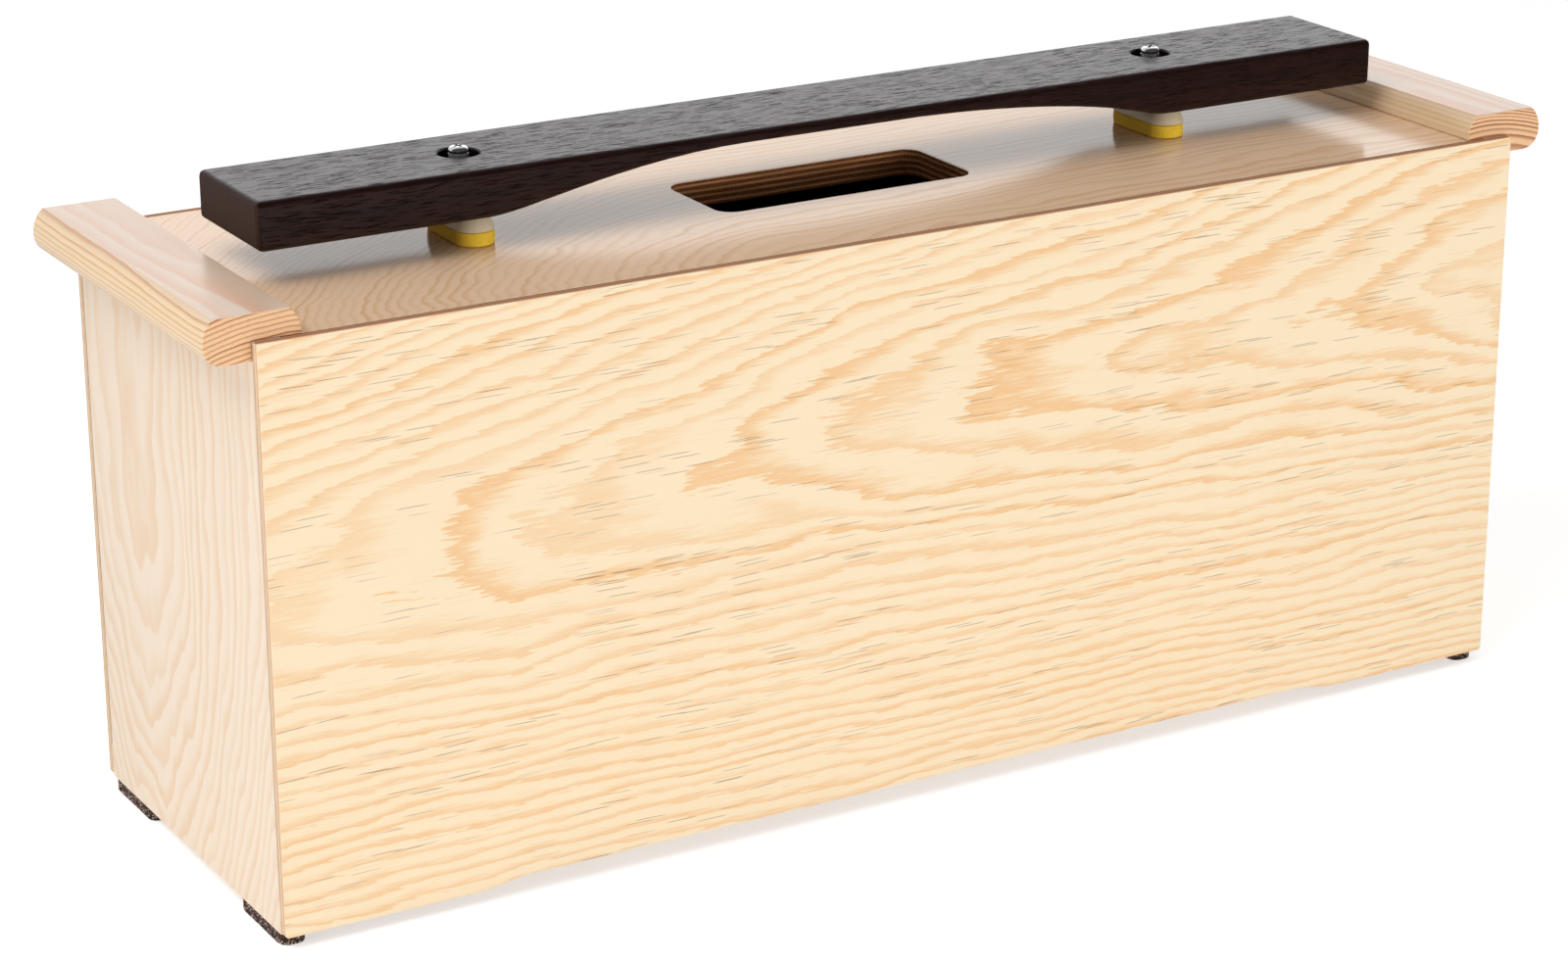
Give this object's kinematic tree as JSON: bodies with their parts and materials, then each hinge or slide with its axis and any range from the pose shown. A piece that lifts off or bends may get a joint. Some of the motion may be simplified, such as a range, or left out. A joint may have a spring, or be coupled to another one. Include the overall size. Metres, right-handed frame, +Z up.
{
  "type": "resonator bar",
  "caption": "Low tuned bar of dark hardwood, thinned by a long arch, lying on padded posts over a closed plywood resonance box with hand rails and pads underneath.",
  "frame": {"origin": "on the floor under the middle of the box", "axes": "+X along the bar towards the short steep end of its arch, +Y from the front panel to the back panel, +Z up"},
  "size_m": [0.746, 0.221, 0.336],
  "materials": {
    "dark_rosewood": "sanded and oiled, satin",
    "pine_plywood": "clear satin lacquer",
    "top_plywood": "clear gloss lacquer",
    "solid_pine": "clear satin lacquer",
    "granulate": "speckled, matte",
    "yellow_felt": "matte",
    "cream_foam": "satin",
    "clear_sleeve": "clear",
    "bright_steel": "bright plated"
  },
  "bodies": {
    "box": {"front_panel": "pine_plywood", "back_panel": "pine_plywood", "left_end_panel": "pine_plywood", "right_end_panel": "pine_plywood", "top_board": "top_plywood", "bottom_board": "pine_plywood", "left_rail": "solid_pine", "right_rail": "solid_pine", "left_front_foot": "granulate", "right_front_foot": "granulate", "left_back_foot": "granulate", "right_back_foot": "granulate", "left_felt_pad": "yellow_felt", "right_felt_pad": "yellow_felt", "left_pad_cap": "cream_foam", "right_pad_cap": "cream_foam", "left_sleeve": "clear_sleeve", "right_sleeve": "clear_sleeve", "left_screw": "bright_steel", "right_screw": "bright_steel"},
    "bar": {"sound_bar": "dark_rosewood"}
  },
  "joints": [
    {"name": "bar_lift", "type": "slide", "parent": "box", "child": "bar", "axis": [0, 0, 1], "range_m": [0, 0.05]}
  ]
}
